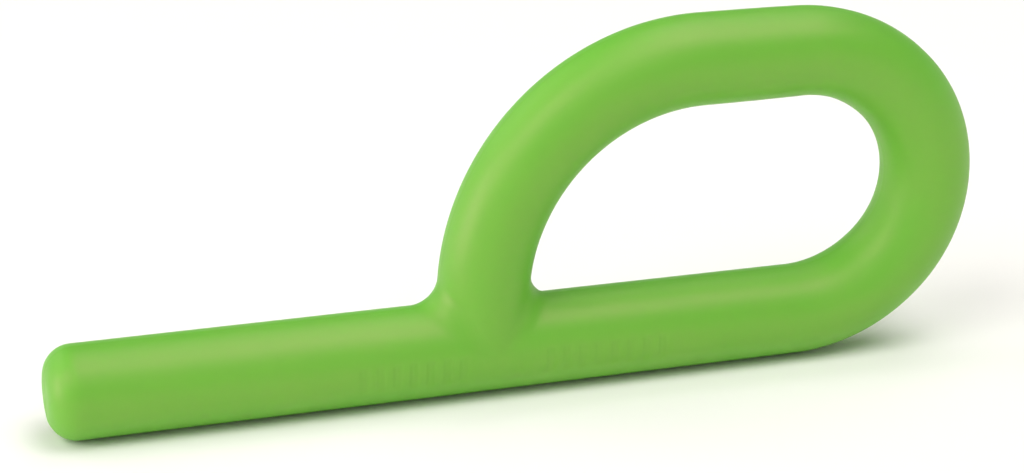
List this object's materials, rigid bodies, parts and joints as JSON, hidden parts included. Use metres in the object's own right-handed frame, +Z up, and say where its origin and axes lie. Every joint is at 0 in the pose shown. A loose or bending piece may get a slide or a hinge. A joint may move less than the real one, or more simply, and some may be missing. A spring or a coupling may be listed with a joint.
{
  "type": "chew tool",
  "caption": "Hand-held chew tool: one solid green elastomer moulding, a straight round bite stem whose far part closes into a finger loop.",
  "frame": {"origin": "middle of the bounding box's floor: the tool stands on its long edge, with the underside of the bar on Z = 0 and its mid-plane on Y = 0", "axes": "+X along the bar from the bite end to the finger loop, +Y across the thickness of the tube, +Z up from the bar to the top of the loop"},
  "size_m": [0.1307, 0.0128, 0.0501],
  "materials": {
    "elastomer": "satin, slightly see-through green thermoplastic elastomer"
  },
  "bodies": {
    "root": {"chew_tool": "elastomer"}
  },
  "joints": []
}
